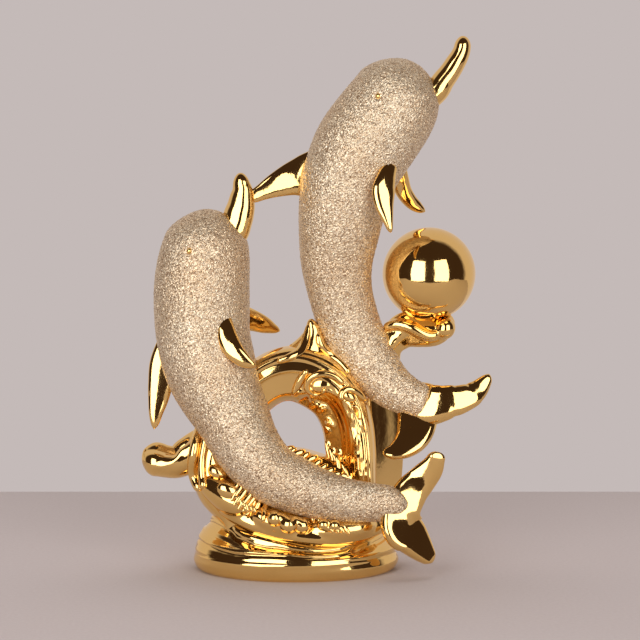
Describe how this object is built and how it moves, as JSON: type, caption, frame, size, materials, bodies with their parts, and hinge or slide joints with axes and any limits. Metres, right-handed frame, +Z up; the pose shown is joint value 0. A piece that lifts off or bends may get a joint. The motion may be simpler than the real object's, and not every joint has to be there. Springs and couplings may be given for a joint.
{
  "type": "ceramic dolphin figurine",
  "caption": "Ceramic ornament of a leaping dolphin pair with sand-coated bodies, on a gold wave that carries a ball.",
  "frame": {"origin": "middle of the flat underside of the base, on the surface that the figurine stands on", "axes": "+Z up through the figurine, +X towards the ball, -Y towards the viewer"},
  "size_m": [0.1965, 0.082, 0.3004],
  "materials": {
    "gold_plate": "mirror-bright gold plating over glaze",
    "sand_coat": "coarse glittering champagne sand coat over glaze"
  },
  "bodies": {
    "root": {"dolphin_figurine": "gold_plate"}
  },
  "joints": []
}
